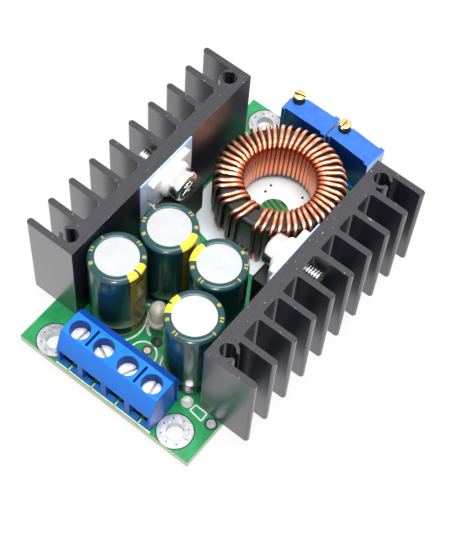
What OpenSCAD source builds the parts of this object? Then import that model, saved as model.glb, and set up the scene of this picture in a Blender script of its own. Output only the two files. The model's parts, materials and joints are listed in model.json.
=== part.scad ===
// Adjustable buck converter module: a green circuit board that carries a wound ring inductor,
// four tall capacitors, two power devices clamped to finned heatsinks, two screw terminal
// blocks and two multi-turn trimmers. All sizes are millimetres.
// Origin: middle of the four mounting holes, on the underside of the board.
// X runs across the board, Y from the terminals to the trimmers, Z up.

/* [Circuit board] */
// Width of the board across the two heatsinks
board_w = 36.6; // [36:0.2:46]
// Length of the board from terminals to trimmers
board_l = 65; // [64:0.5:80]
// Thickness of the board
board_t = 1.6; // [1:0.1:2.4]
// Diameter of a mounting hole
mount_hole_d = 3.1; // [2.6:0.1:3.4]
// Distance of a mounting hole from the long edge
mount_inset_x = 5.1; // [3.4:0.1:5.4]
// Distance of a mounting hole from the short edge
mount_inset_y = 3.1; // [2.8:0.1:3.6]
// How far the trimmed leads stand out below the board
lead_out = 2; // [1.8:0.1:3]
// Play of a lead in its plated hole, across the diameter
lead_play = 0.2; // [0.1:0.05:0.4]

/* [Screw terminals] */
// Distance from one wire to the next
pole_pitch = 5.08; // [5:0.02:6.2]
// Poles moulded in one housing
poles_per_block = 2; // [2:1:2]
// Height of the housing
terminal_h = 9.3; // [9.1:0.1:11.5]
// Depth of the housing from front to back
terminal_depth = 7.2; // [7.2:0.1:8.6]
// Gap between the board's front edge and the housing
terminal_setback = 0.5; // [0.2:0.1:1.5]
// Sideways offset of the pair of blocks from the board's middle
terminal_shift = -0.12; // [-0.5:0.02:0.5]
// Height of the upright part of the front wall
terminal_front_h = 4.8; // [4.6:0.1:5.4]
// Distance from the front wall to the top face
terminal_slope = 1.5; // [1.2:0.1:1.7]
// Depth of the lower ledge behind the top face
terminal_ledge = 1.35; // [1:0.05:1.5]
// Drop of that ledge below the top face
terminal_ledge_drop = 1; // [0.6:0.1:1.6]
// Width of a wire chamber
chamber_w = 3.94; // [3.8:0.02:4.4]
// Height of the sill under each wire entry
terminal_floor = 0.4; // [0.3:0.1:0.6]
// Distance from the front wall to the screw's axis
screw_setback = 3.45; // [3.3:0.05:3.8]
// Diameter of the clamp screw's head
clamp_head_d = 3.43; // [3.2:0.01:4.2]
// Height of the clamp screw's head
clamp_head_h = 1; // [0.8:0.1:1.5]
// Running clearance round the screw's head
clamp_play = 0.06; // [0.03:0.01:0.1]
// Running clearance round the screw's thread, which just fits between the cage's walls
thread_play = 0.1; // [0.06:0.01:0.15]
// Side clearance of the clamp cage in its chamber
cage_play = 0.07; // [0.05:0.01:0.15]
// Thickness of the cage's side and lower walls
cage_wall = 0.5; // [0.4:0.05:0.65]
// Thickness of the cage's threaded upper wall
cage_top_t = 0.6; // [0.5:0.1:0.9]
// Way that the cage sinks from clamped to open
cage_travel = 1.75; // [1.4:0.05:1.9]
// Thickness of the ledge under the clamp screw's head
clamp_ledge_t = 0.3; // [0.2:0.1:0.6]
// Distance from the front wall to the clamp cage
cage_setback = 1.4; // [1.3:0.05:1.5]
// Thickness of the contact bar
contact_t = 0.5; // [0.4:0.1:0.8]
// Distance from the front wall to the tip of the contact bar
contact_setback = 0.7; // [0.4:0.1:1]
// Thickness of the housing's rear wall, behind the contact
terminal_wall = 0.65; // [0.5:0.05:0.9]
// Width of the contact's pin in the board
contact_pin_w = 1; // [0.8:0.1:1.2]

/* [Heatsinks] */
// Height of a heatsink above the board
heatsink_h = 20.7; // [19.5:0.1:25]
// Length of a heatsink along the board
heatsink_l = 46.74; // [40:0.1:50]
// Depth from the mounting face to the fin tips
heatsink_depth = 9.9; // [8:0.1:14]
// Thickness of the back plate that carries the fins
heatsink_base_t = 2.8; // [2.6:0.1:3.4]
// Number of fins
fin_count = 10; // [6:1:12]
// Thickness of a fin
fin_t = 1.2; // [0.8:0.05:1.4]
// Radius of the fillet at a fin's root
fin_fillet = 0.5; // [0.2:0.1:0.7]
// Bore of the screw channel beside each end fin
channel_d = 2.6; // [2:0.1:2.8]
// Wall round the screw channel
channel_wall = 0.6; // [0.4:0.1:0.8]
// Distance of the left mounting face from the board's edge
heatsink_inset_left = 4.9; // [4.6:0.1:5.4]
// Distance of the right mounting face from the board's edge
heatsink_inset_right = 4.65; // [4.4:0.05:5.2]
// Offset of both heatsinks from the board's middle
heatsink_shift = -0.08; // [-1:0.02:1]

/* [Power devices] */
// Width of the device's body and tab
device_w = 10; // [9.6:0.1:10.4]
// Height of the moulded body
device_body_h = 9.2; // [8.8:0.1:9.6]
// Thickness from the tab's back to the body's front
device_t = 4.4; // [4.2:0.1:4.8]
// Thickness of the metal tab
tab_t = 1.3; // [1:0.1:1.5]
// Height of the tab above the moulded body
tab_h = 6.3; // [6:0.1:6.6]
// Diameter of the hole in the tab
tab_hole_d = 3.8; // [3.7:0.1:4]
// Distance of that hole from the tab's top
tab_hole_drop = 2.9; // [2.7:0.1:3]
// Height of the tab's top above the board
tab_top = 20.2; // [19:0.1:20.6]
// Offset of the devices along the heatsink
device_shift = 0.18; // [-0.5:0.02:0.5]
// Distance from the tab's back to the middle of the leads
lead_plane = 2.65; // [2.4:0.05:2.8]
// Thickness of a device lead
device_lead_t = 0.5; // [0.4:0.05:0.6]
// Width of a device lead
device_lead_w = 0.8; // [0.6:0.05:0.9]
// Lead spacing of the five-lead regulator
regulator_pitch = 1.7; // [1.6:0.05:1.8]
// Lead spacing of the three-lead diode
diode_pitch = 2.54; // [2.3:0.02:2.8]
// Thickness of the insulating pad
pad_t = 0.25; // [0.2:0.05:0.5]
// Width of the insulating pad
pad_w = 13.4; // [12:0.1:15]
// Height of the insulating pad
pad_h = 18; // [16:0.1:18.5]
// Diameter of the insulating bush's flange
bush_d = 6.7; // [6:0.1:6.7]
// Thickness of that flange
bush_t = 1.2; // [0.8:0.1:1.6]
// Wall of the bush inside the tab's hole
bush_wall = 0.3; // [0.25:0.05:0.3]
// Head diameter of the heatsink screw
screw_head_d = 5.7; // [5:0.1:6]
// Head height of the heatsink screw
screw_head_h = 2.1; // [1.6:0.1:2.4]
// Thread diameter of the heatsink screw
screw_thread_d = 3; // [2.6:0.1:3]
// Length of the heatsink screw under its head
screw_l = 8; // [7:0.5:12]
// Play of the screw in the bush and the heatsink, across the diameter
screw_play = 0.1; // [0.06:0.02:0.2]

/* [Inductor] */
// Outer diameter of the ring core
core_od = 22; // [20:0.1:22.2]
// Inner diameter of the ring core
core_id = 14.4; // [12:0.1:16]
// Height of the ring core
core_h = 8.8; // [7:0.1:11]
// Corner radius of the core's section
core_corner = 0.8; // [0.4:0.1:1.2]
// Diameter of the enamelled wire
wire_d = 0.84; // [0.6:0.01:1.1]
// Clearance between neighbouring strands inside the ring
strand_gap = 0.02; // [0.01:0.01:0.1]
// Clearance between a strand and the core
core_gap = 0.07; // [0.06:0.01:0.15]
// Extra spacing of a pair of strands, per millimetre of radius
pair_spread = 0.09; // [0:0.01:0.12]
// Angle at which the winding starts
winding_start = -73.6; // [-89:0.2:-40]
// Angle that the evenly spaced turns would cover
winding_arc = 341.5; // [300:0.5:344]
// Number of turns at the end that spread wider and wider
loose_turns = 3.8; // [0:0.1:6]
// Extra angle of the first loose turn, which grows with the square of their number
loosening = 1.04; // [0:0.02:1.1]
// Height of the lowest strand above the board
ring_lift = 0.2; // [0.1:0.1:1]
// Sideways offset of the ring from the board's middle
ring_shift = -0.3; // [-1.2:0.05:0]
// Gap between the ring and the trimmers
ring_trimmer_gap = 0.1; // [0.1:0.1:2]

/* [Capacitors] */
// Outer diameter of a capacitor with its sleeve
cap_d = 9.9; // [8:0.1:9.9]
// Height of a capacitor above the board
cap_h = 19.2; // [12:0.1:22]
// Thickness of the plastic sleeve
sleeve_t = 0.15; // [0.1:0.05:0.25]
// Clearance between the sleeve and the can
sleeve_gap = 0.05; // [0.02:0.01:0.1]
// Width of the sleeve's rim that is turned in over the top
sleeve_rim = 1.25; // [1:0.05:2]
// Corner radius of the can's shoulder
can_shoulder = 0.5; // [0.5:0.1:1.2]
// Height of the crimped groove above the board
crimp_z = 2.4; // [2:0.1:3]
// Depth of the crimped groove
crimp_depth = 0.5; // [0.3:0.1:0.7]
// Spacing of a capacitor's two leads
cap_lead_pitch = 5; // [3.5:0.1:5]
// Diameter of a capacitor's lead
cap_lead_d = 0.6; // [0.5:0.05:0.8]
// Wall of the can where it grips its rubber bung
can_wall = 0.5; // [0.4:0.05:0.7]
// Height of the rubber bung
bung_h = 1.6; // [1.2:0.1:2]
// Gap between the terminals and the front left capacitor
cap_a_setback = 1.55; // [1:0.05:3]
// Gap between the terminals and the front right capacitor
cap_d_setback = 1.15; // [1:0.05:3]
// Gap between the left capacitor and its heatsink
cap_a_gap = 0.1; // [0.1:0.05:0.6]
// Gap between the right capacitor and its heatsink
cap_d_gap = 0.65; // [0.1:0.05:0.7]
// Sideways step from a front capacitor to the one behind it
cap_step = 2.95; // [2.5:0.05:3]
// Gap between the two left capacitors
left_pair_gap = 0.24; // [0.1:0.02:0.4]
// Gap between the two right capacitors
right_pair_gap = 0.5; // [0.1:0.02:1]

/* [Trimmers] */
// Width of a trimmer's housing
trimmer_w = 9.53; // [9.4:0.01:9.6]
// Depth of a trimmer's housing
trimmer_d = 4.83; // [4.6:0.01:5.9]
// Height of a trimmer's top above the board
trimmer_h = 10.4; // [9:0.1:12.5]
// Height of the small feet under a trimmer
trimmer_foot = 0.4; // [0.3:0.1:0.8]
// Width of the corner post at the screw's end
post_near_w = 0.6; // [0.4:0.05:1]
// Width of the corner post at the far end
post_far_w = 0.95; // [0.5:0.05:1.2]
// Depth of the panel between the corner posts
panel_depth = 0.35; // [0.2:0.05:0.5]
// Diameter of the adjusting screw
adjuster_d = 2.19; // [2:0.01:2.6]
// Height of the adjusting screw above the housing
adjuster_out = 1.3; // [1:0.1:1.6]
// Depth of the adjusting screw inside the housing
adjuster_in = 3; // [2:0.1:4]
// Running clearance round the adjusting screw
adjuster_play = 0.05; // [0.02:0.01:0.1]
// Diameter of the sunk ring round the adjusting screw
adjuster_rim_d = 2.9; // [2.7:0.1:3.2]
// Depth of that ring
adjuster_rim_depth = 0.35; // [0.2:0.05:0.6]
// Distance of the adjusting screw from both outer faces
adjuster_inset = 1.27; // [1.25:0.01:1.5]
// Spacing of a trimmer's pins
trimmer_pitch = 2.54; // [2.5:0.01:2.6]
// Diameter of a trimmer's pin
trimmer_pin_d = 0.5; // [0.4:0.05:0.6]
// Overhang of the first trimmer past the board's rear edge
trimmer_overhang = 0.23; // [0:0.01:0.5]
// Sideways place of the first trimmer's left side
trimmer_left = -9.2; // [-10:0.05:-8.8]
// Gap between the two trimmers
trimmer_gap = 0.25; // [0.1:0.05:0.6]
// Angle by which the second trimmer was soldered askew
trimmer_askew = 4.3; // [0:0.1:5]
// How far the second trimmer stands behind the first
trimmer_step = 0.35; // [0:0.05:0.6]

/* [Indicator lamp] */
// Diameter of the lamp's lens
lamp_d = 3; // [2.8:0.1:3.4]
// Diameter of the lamp's flange
lamp_flange_d = 3.8; // [3.6:0.1:4.2]
// Height of the lamp from flange to tip
lamp_h = 5.3; // [4:0.1:6]
// Height of the flange above the board
lamp_lift = 3.5; // [1:0.1:6]
// Distance of the lamp behind the terminals
lamp_setback = 8.2; // [7:0.1:9]
// Sideways offset of the lamp
lamp_shift = -1; // [-2:0.1:0]
// Spacing of the lamp's two leads
lamp_lead_pitch = 2.54; // [2:0.02:2.6]
// Width of the lamp's square leads
lamp_lead_w = 0.5; // [0.4:0.05:0.6]

/* [Hidden] */
$fn = 48;

// A small overshoot, so that a cut passes clean through a face
past = 1;

// Places on the board
rear_edge = board_l / 2;
front_edge = -board_l / 2;
terminal_front = front_edge + terminal_setback;
terminal_back = terminal_front + terminal_depth;
screw_y = terminal_front + screw_setback;
face_left = -board_w / 2 + heatsink_inset_left;
face_right = board_w / 2 - heatsink_inset_right;
device_y = heatsink_shift + device_shift;

// The rising clamp of a terminal pole, as heights above the board, with the clamp closed
end_gap = 0.05;
cage_low = 0.2 + cage_travel;
cage_floor_top = cage_low + cage_wall;
contact_low = cage_floor_top + end_gap;
contact_top = contact_low + contact_t;
cage_roof = contact_top + end_gap + cage_travel;
cage_top = cage_roof + cage_top_t;
chamber_top = cage_top + 2 * end_gap;
clamp_head_low = chamber_top + clamp_ledge_t;
cage_w = chamber_w - 2 * cage_play;
cage_inner_w = cage_w - 2 * cage_wall;
clamp_thread_d = cage_inner_w - 2 * thread_play;
contact_w = cage_inner_w - 0.2;
// Depths in the housing, from its front
contact_back = terminal_depth - terminal_wall;
contact_leg_front = contact_back - contact_t;
cage_back = contact_leg_front - 2 * end_gap;
chamber_back = contact_back + end_gap;
// Dovetail that joins one housing to the next
dovetail_y = terminal_depth - 0.7;
dovetail_out = 0.35;
dovetail_play = 0.05;

// The winding
wire_r = wire_d / 2;
strand_outer_r = core_od / 2 + core_gap + wire_r;
strand_inner_r = core_id / 2 - core_gap - wire_r;
strand_low_z = board_t + ring_lift + wire_r;
core_z = board_t + ring_lift + wire_d + core_gap;
strand_high_z = core_z + core_h + core_gap + wire_r;
strand_bend_r = core_corner + core_gap + wire_r;
winding_r = core_od / 2 + core_gap + wire_d;
pair_width = 2 * (wire_d + strand_gap);
turns = floor(winding_arc * PI / 180 * strand_inner_r / pair_width);
turn_angle = winding_arc / turns;

// Trimmers and ring, placed from the rear edge
trimmer_front = rear_edge + trimmer_overhang - trimmer_d;
ring_y = trimmer_front - ring_trimmer_gap - winding_r;
second_trimmer_left = trimmer_left + trimmer_w + trimmer_gap;
second_trimmer_front = trimmer_front + trimmer_step;

// Strand path. A station is [radius, height, angle of the outward side], and a turn runs up the
// outside, over the top, down the inside and back under the core with three stations a corner.
stations_per_turn = 12;
wire_sides = 8;
// The last end leaves the underside of the core with a tighter bend, down into the board
tail_bend = strand_low_z - board_t;
tail_r = strand_outer_r - strand_bend_r + tail_bend;
function corner_middle(corner) = [
    corner == 0 || corner == 3 ? strand_outer_r - strand_bend_r : strand_inner_r + strand_bend_r,
    corner < 2 ? strand_high_z - strand_bend_r : strand_low_z + strand_bend_r];
function turn_station(step) = let (
    corner = floor(step / 3),
    side = 90 * corner + 45 * (step % 3),
    place = corner_middle(corner) + strand_bend_r * [cos(side), sin(side)])
    [place.x, place.y, side];
function half_spacing(r) = wire_r + strand_gap / 2 + pair_spread * (r - strand_inner_r) / 2;
function pair_angle(r) = half_spacing(r) / r * 180 / PI;
// The last run under the core goes straight out
last_turn = turns - 0.5;
function turn_place(turn) = winding_start + turn_angle * turn
    + loosening * pow(max(0, turn - turns + loose_turns), 2);
function end_angle(end) = end == 0 ? winding_start : turn_place(last_turn);
wire_end_z = -lead_out + 0.4;
path = concat(
    [[strand_outer_r, wire_end_z, 0, winding_start], [strand_outer_r, strand_low_z, 0, winding_start]],
    [for (n = [0 : stations_per_turn * turns - 3]) concat(turn_station(n % stations_per_turn),
        turn_place(min(n / stations_per_turn, last_turn)))],
    [for (bend = [45, 90]) [strand_outer_r - strand_bend_r + tail_bend * sin(bend),
        strand_low_z - tail_bend * (1 - cos(bend)), 270 - bend, end_angle(1)]],
    [[tail_r, wire_end_z, 180, end_angle(1)]]);
function wire_ring(p, strand) = let (a = p[3] + strand * pair_angle(p[0]))
    [for (k = [0 : wire_sides - 1]) let (
        t = 360 * k / wire_sides,
        out = wire_r * cos(t),
        along = wire_r * sin(t),
        r = p[0] + out * cos(p[2]))
        [ring_shift + r * cos(a) - along * sin(a), ring_y + r * sin(a) + along * cos(a),
         p[1] + out * sin(p[2])]];

// Capacitors, as [x, y]: a and d stand behind the terminals, b and c behind them
cap_a = [face_left + cap_a_gap + cap_d / 2, terminal_back + cap_a_setback + cap_d / 2];
cap_d_place = [face_right - cap_d_gap - cap_d / 2, terminal_back + cap_d_setback + cap_d / 2];
cap_b = cap_a + [cap_step, sqrt(pow(cap_d + left_pair_gap, 2) - pow(cap_step, 2))];
cap_c = cap_d_place + [-cap_step, sqrt(pow(cap_d + right_pair_gap, 2) - pow(cap_step, 2))];
caps = [cap_a, cap_b, cap_c, cap_d_place];
can_r = cap_d / 2 - sleeve_t - sleeve_gap;
bung_r = can_r - can_wall;
bung_gap = 0.02;

lamp_place = [lamp_shift, terminal_back + lamp_setback];

// Holes for leads, each as [x, y, size across the lead]
function pole_x(i) = terminal_shift + (i - (2 * poles_per_block - 1) / 2) * pole_pitch;
contact_holes = [for (i = [0 : 2 * poles_per_block - 1])
    [pole_x(i), terminal_front + contact_back - contact_t / 2, norm([contact_pin_w, contact_t])]];
cap_holes = [for (c = caps, side = [-1, 1]) [c.x, c.y + side * cap_lead_pitch / 2, cap_lead_d]];
function device_holes(x, pitch, count) = [for (i = [0 : count - 1])
    [x, device_y + (i - (count - 1) / 2) * pitch, norm([device_lead_w, device_lead_t])]];
regulator_holes = device_holes(face_left + pad_t + lead_plane, regulator_pitch, 5);
diode_holes = device_holes(face_right - pad_t - lead_plane, diode_pitch, 3);
function trimmer_hole(origin, angle, i) = let (
    along = trimmer_w / 2 + (i - 1) * trimmer_pitch,
    across = trimmer_d / 2)
    [origin.x + along * cos(angle) - across * sin(angle),
     origin.y + along * sin(angle) + across * cos(angle), trimmer_pin_d];
trimmer_1_holes = [for (i = [0 : 2]) trimmer_hole([trimmer_left, trimmer_front], 0, i)];
trimmer_2_holes = [for (i = [0 : 2])
    trimmer_hole([second_trimmer_left, second_trimmer_front], -trimmer_askew, i)];
lamp_holes = [for (side = [-1, 1])
    [lamp_place.x + side * lamp_lead_pitch / 2, lamp_place.y, norm([lamp_lead_w, lamp_lead_w])]];
wire_holes = [for (strand = [-1, 1], end = [0, 1]) let (
    r = end == 0 ? strand_outer_r : tail_r,
    a = end_angle(end) + strand * pair_angle(r))
    [ring_shift + r * cos(a), ring_y + r * sin(a), wire_d]];
lead_holes = concat(contact_holes, cap_holes, regulator_holes, diode_holes, trimmer_1_holes,
    trimmer_2_holes, lamp_holes, wire_holes);

// Plan outline with rounded corners, from the origin
module rounded_plan(w, d, r) {
    translate([r, 0]) square([w - 2 * r, d]);
    translate([0, r]) square([w, d - 2 * r]);
    for (x = [r, w - r], y = [r, d - r]) translate([x, y]) circle(r);
}

// A straight square-ended lead through the board, from a height down to the lead ends
module board_lead(w, d, top) {
    translate([-w / 2, -d / 2, -lead_out]) cube([w, d, top + lead_out]);
}

module circuit_board() {
    color("mediumseagreen") difference() {
        translate([-board_w / 2, front_edge, 0]) cube([board_w, board_l, board_t]);
        for (x = [-1, 1], y = [-1, 1])
            translate([x * (board_w / 2 - mount_inset_x), y * (rear_edge - mount_inset_y), -past])
                cylinder(d = mount_hole_d, h = board_t + 2 * past);
        for (hole = lead_holes) translate([hole.x, hole.y, -past])
            cylinder(d = hole.z + lead_play, h = board_t + 2 * past, $fn = 24);
    }
}

// Side outline of a terminal housing: sloped front, flat top, low ledge behind
module terminal_side() {
    top_back = terminal_depth - terminal_ledge;
    ledge_z = terminal_h - terminal_ledge_drop;
    polygon([[0, 0], [0, terminal_front_h], [terminal_slope, terminal_h], [top_back, terminal_h],
        [top_back, ledge_z], [terminal_depth, ledge_z], [terminal_depth, 0]]);
}

// Plan of the dovetail that joins one housing to the next, widest at its far end
module dovetail_plan(root, play) {
    neck = 0.3 + play;
    end = 0.45 + play;
    polygon([[root, -neck], [0, -neck], [-dovetail_out - play, -end], [-dovetail_out - play, end],
        [0, neck], [root, neck]]);
}

// Moulded housing: dovetail on its left, groove on its right, one chamber for each pole
module terminal_housing(first_pole) {
    block_w = poles_per_block * pole_pitch;
    entry_top = terminal_front_h - 0.2;
    ledge_z = terminal_h - terminal_ledge_drop;
    slit_w = 0.44;
    slit_l = 3.5;
    slit_depth = 1.5;
    sill_slit_w = 0.7;
    color("dodgerblue") translate([pole_x(first_pole) - pole_pitch / 2, terminal_front, board_t])
        difference() {
            union() {
                rotate([90, 0, 90]) linear_extrude(block_w) terminal_side();
                translate([0, dovetail_y, 0]) linear_extrude(ledge_z) dovetail_plan(0.1, 0);
            }
            translate([block_w, dovetail_y, -past]) linear_extrude(terminal_h + 2 * past)
                dovetail_plan(past, dovetail_play);
            for (i = [0 : poles_per_block - 1]) translate([(i + 0.5) * pole_pitch, 0, 0]) {
                // Wire entry, open at the front
                translate([-chamber_w / 2, -past, terminal_floor])
                    cube([chamber_w, cage_setback + past, entry_top - terminal_floor]);
                // Chamber of the rising clamp: open below, closed by the ledge under the screw's head
                translate([-chamber_w / 2, cage_setback - end_gap, -past])
                    cube([chamber_w, chamber_back - cage_setback + end_gap, chamber_top + past]);
                translate([0, screw_setback, chamber_top - end_gap])
                    cylinder(d = clamp_thread_d + 2 * thread_play, h = clamp_ledge_t + 2 * end_gap);
                translate([0, screw_setback, clamp_head_low])
                    cylinder(d = clamp_head_d + 2 * clamp_play, h = terminal_h);
                // Slit in the sill, which shows the board
                translate([-sill_slit_w / 2, -past, -past])
                    cube([sill_slit_w, past + cage_setback, terminal_floor + 2 * past]);
            }
            // Narrow slit between two screws
            translate([block_w / 2 - slit_w / 2, screw_setback - slit_l / 2 + 0.15, terminal_h - slit_depth])
                cube([slit_w, slit_l, slit_depth + past]);
        }
}

module left_terminal_housing() { terminal_housing(0); }
module right_terminal_housing() { terminal_housing(poles_per_block); }

// Tinned contacts: a bar inside each clamp, a leg behind it and a pin through the board
module terminal_contacts() {
    color("silver") for (i = [0 : 2 * poles_per_block - 1])
        translate([pole_x(i), terminal_front, 0]) {
            translate([-contact_w / 2, contact_setback, board_t + contact_low])
                cube([contact_w, contact_back - contact_setback, contact_t]);
            translate([-contact_w / 2, contact_leg_front, board_t])
                cube([contact_w, contact_t, contact_top]);
            translate([0, contact_back - contact_t / 2, 0])
                board_lead(contact_pin_w, contact_t, board_t + contact_low);
        }
}

// Folded steel cage that climbs its screw and lifts the wire against the contact bar
module clamp_cage(i) {
    side_r = 0.5;
    color("lightsteelblue") translate([pole_x(i), terminal_front, board_t]) difference() {
        translate([0, cage_back, cage_low]) rotate([90, 0, 0])
            linear_extrude(cage_back - cage_setback)
                translate([-cage_w / 2, 0]) rounded_plan(cage_w, cage_top - cage_low, side_r);
        translate([-cage_inner_w / 2, cage_setback - past, cage_floor_top])
            cube([cage_inner_w, cage_back - cage_setback + 2 * past, cage_roof - cage_floor_top]);
        translate([0, screw_setback, cage_roof - past / 2])
            cylinder(d = clamp_thread_d + 2 * thread_play, h = cage_top_t + past);
    }
}

module clamp_cage_1() { clamp_cage(0); }
module clamp_cage_2() { clamp_cage(1); }
module clamp_cage_3() { clamp_cage(2); }
module clamp_cage_4() { clamp_cage(3); }

// Slotted clamp screw, whose tip bears on the contact bar; the slot is turned by an angle
module clamp_screw(i, slot_angle) {
    slot_w = 0.5;
    slot_depth = 0.45;
    color("gainsboro") translate([pole_x(i), screw_y, board_t]) rotate([0, 0, slot_angle])
        difference() {
            union() {
                translate([0, 0, contact_top + end_gap])
                    cylinder(d = clamp_thread_d, h = clamp_head_low - contact_top);
                translate([0, 0, clamp_head_low]) cylinder(d = clamp_head_d, h = clamp_head_h);
            }
            translate([-clamp_head_d, -slot_w / 2, clamp_head_low + clamp_head_h - slot_depth])
                cube([2 * clamp_head_d, slot_w, slot_depth + past]);
        }
}

module clamp_screw_1() { clamp_screw(0, 86); }
module clamp_screw_2() { clamp_screw(1, -24); }
module clamp_screw_3() { clamp_screw(2, 65); }
module clamp_screw_4() { clamp_screw(3, 100); }

// Section of a heatsink: mounting face on the line x = 0, fins towards +x, middle at y = 0
module heatsink_section() {
    fin_pitch = (heatsink_l - fin_t) / (fin_count - 1);
    channel_x = heatsink_base_t - 0.2;
    channel_y = heatsink_l / 2 - fin_t - channel_d / 2 - 0.2;
    difference() {
        union() {
            translate([0, -heatsink_l / 2]) square([heatsink_base_t, heatsink_l]);
            for (i = [0 : fin_count - 1]) translate([0, (i - (fin_count - 1) / 2) * fin_pitch]) {
                translate([0, -fin_t / 2]) square([heatsink_depth - fin_t / 2, fin_t]);
                translate([heatsink_depth - fin_t / 2, 0]) circle(fin_t / 2);
            }
            // Root fillets on both sides of each gap between fins
            for (i = [0 : fin_count - 2], side = [-1, 1])
                translate([heatsink_base_t, (i - fin_count / 2 + 1) * fin_pitch
                        + side * (fin_pitch - fin_t) / 2]) difference() {
                    translate([-0.1, side > 0 ? -fin_fillet : -0.1])
                        square([fin_fillet + 0.1, fin_fillet + 0.1]);
                    translate([fin_fillet, -side * fin_fillet]) circle(fin_fillet);
                }
            for (side = [-1, 1])
                translate([channel_x, side * channel_y]) circle(channel_d / 2 + channel_wall);
        }
        for (side = [-1, 1]) translate([channel_x, side * channel_y]) {
            circle(channel_d / 2);
            translate([0, -0.5]) square([channel_d / 2 + channel_wall + past, 1]);
        }
    }
}

// Thickness of all that the heatsink screw holds: pad, tab and bush
screw_under_head = pad_t + tab_t + bush_t;

// Local frame on a mounting face: x points away from the heatsink, z = 0 is the board's top
module on_face(side) {
    translate([side < 0 ? face_left : face_right, 0, board_t]) mirror([side > 0 ? 1 : 0, 0, 0]) children();
}

// One heatsink, with the hole for its screw cut clear of whatever stands round the screw's end
module heatsink(side) {
    screw_in = screw_l - screw_under_head;
    color([0.16, 0.16, 0.17]) on_face(side) difference() {
        translate([0, heatsink_shift, 0]) mirror([1, 0, 0])
            linear_extrude(heatsink_h) heatsink_section();
        translate([past, device_y, tab_top - tab_hole_drop]) rotate([0, -90, 0])
            cylinder(d = screw_thread_d + screw_play, h = max(heatsink_base_t, screw_in) + 2 * past);
    }
}

module left_heatsink() { heatsink(-1); }
module right_heatsink() { heatsink(1); }

// Moulded body of a power device: drafted front, round moulding mark and chamfered top edge
module device_body(side) {
    bottom = tab_top - tab_h - device_body_h;
    body_t = device_t - tab_t;
    chamfer = 0.5;
    mark_r = 0.75;
    color([0.13, 0.13, 0.14]) on_face(side) translate([pad_t + tab_t, device_y, bottom]) difference() {
        translate([0, device_w / 2, 0]) rotate([90, 0, 0]) linear_extrude(device_w)
            polygon([[0, 0], [body_t - 0.25, 0], [body_t, 1.2], [body_t, device_body_h - chamfer],
                [body_t - chamfer, device_body_h], [0, device_body_h]]);
        translate([body_t - 0.12, 0, device_body_h - 2]) rotate([0, 90, 0])
            cylinder(r = mark_r, h = past);
        for (edge = [-1, 1]) translate([body_t, edge * device_w / 2, -past]) rotate([0, 0, 45])
            translate([-0.25, -0.25, 0]) cube([0.5, 0.5, device_body_h + 2 * past]);
    }
}

// Tab with its screw hole and corner notches, and the straight leads down through the board
module device_frame(side, pitch, count) {
    bottom = tab_top - tab_h - device_body_h;
    notch = 0.7;
    color("silver") on_face(side) {
        translate([pad_t, device_y, 0]) difference() {
            translate([0, -device_w / 2, bottom]) cube([tab_t, device_w, tab_top - bottom]);
            translate([-past, 0, tab_top - tab_hole_drop]) rotate([0, 90, 0])
                cylinder(d = tab_hole_d, h = tab_t + 2 * past);
            for (edge = [-1, 1]) {
                translate([-past, edge * device_w / 2, tab_top]) rotate([45, 0, 0])
                    translate([0, -notch / 2, -notch / 2]) cube([tab_t + 2 * past, notch, notch]);
                translate([-past, edge * device_w / 2, tab_top - tab_h + 0.6]) rotate([0, 90, 0])
                    cylinder(r = 0.6, h = tab_t + 2 * past);
            }
        }
        for (i = [0 : count - 1])
            translate([pad_t + lead_plane, device_y + (i - (count - 1) / 2) * pitch, -board_t])
                board_lead(device_lead_t, device_lead_w, board_t + bottom);
    }
}

module device_pad(side) {
    color([0.82, 0.88, 0.95]) on_face(side) difference() {
        translate([0, device_y - pad_w / 2, heatsink_h - pad_h]) cube([pad_t, pad_w, pad_h]);
        translate([-past, device_y, tab_top - tab_hole_drop]) rotate([0, 90, 0])
            cylinder(d = tab_hole_d, h = pad_t + 2 * past);
    }
}

// Shoulder washer that keeps the screw clear of the tab
module device_bush(side) {
    sleeve_r = screw_thread_d / 2 + screw_play / 2 + bush_wall;
    color("white") on_face(side) translate([pad_t, device_y, tab_top - tab_hole_drop])
        rotate([0, 90, 0]) difference() {
            union() {
                cylinder(r = sleeve_r, h = tab_t);
                translate([0, 0, tab_t]) cylinder(d = bush_d, h = bush_t - 0.4);
                translate([0, 0, tab_t + bush_t - 0.4]) cylinder(d1 = bush_d, d2 = bush_d - 0.8, h = 0.4);
            }
            translate([0, 0, -past])
                cylinder(d = screw_thread_d + screw_play, h = tab_t + bush_t + 2 * past);
        }
}

// Pan-head cross-recessed screw through bush, tab and pad into the heatsink
module device_screw(side) {
    rim = 0.7;
    cross_l = 3;
    cross_w = 0.5;
    cross_depth = 1.2;
    color("gainsboro") on_face(side) translate([screw_under_head, device_y, tab_top - tab_hole_drop])
        rotate([0, 90, 0]) difference() {
            union() {
                translate([0, 0, -screw_l]) cylinder(d = screw_thread_d, h = screw_l);
                rotate_extrude() intersection() {
                    square([screw_head_d / 2, screw_head_h]);
                    union() {
                        square([screw_head_d / 2 - rim, screw_head_h]);
                        square([screw_head_d / 2, screw_head_h - rim]);
                        translate([screw_head_d / 2 - rim, screw_head_h - rim]) circle(rim);
                    }
                }
            }
            for (turn = [20, 110]) rotate([0, 0, turn])
                translate([-cross_l / 2, -cross_w / 2, screw_head_h - cross_depth])
                    cube([cross_l, cross_w, cross_depth + past]);
        }
}

module regulator_body() { device_body(-1); }
module regulator_frame() { device_frame(-1, regulator_pitch, 5); }
module regulator_pad() { device_pad(-1); }
module regulator_bush() { device_bush(-1); }
module regulator_screw() { device_screw(-1); }
module diode_body() { device_body(1); }
module diode_frame() { device_frame(1, diode_pitch, 3); }
module diode_pad() { device_pad(1); }
module diode_bush() { device_bush(1); }
module diode_screw() { device_screw(1); }

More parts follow.
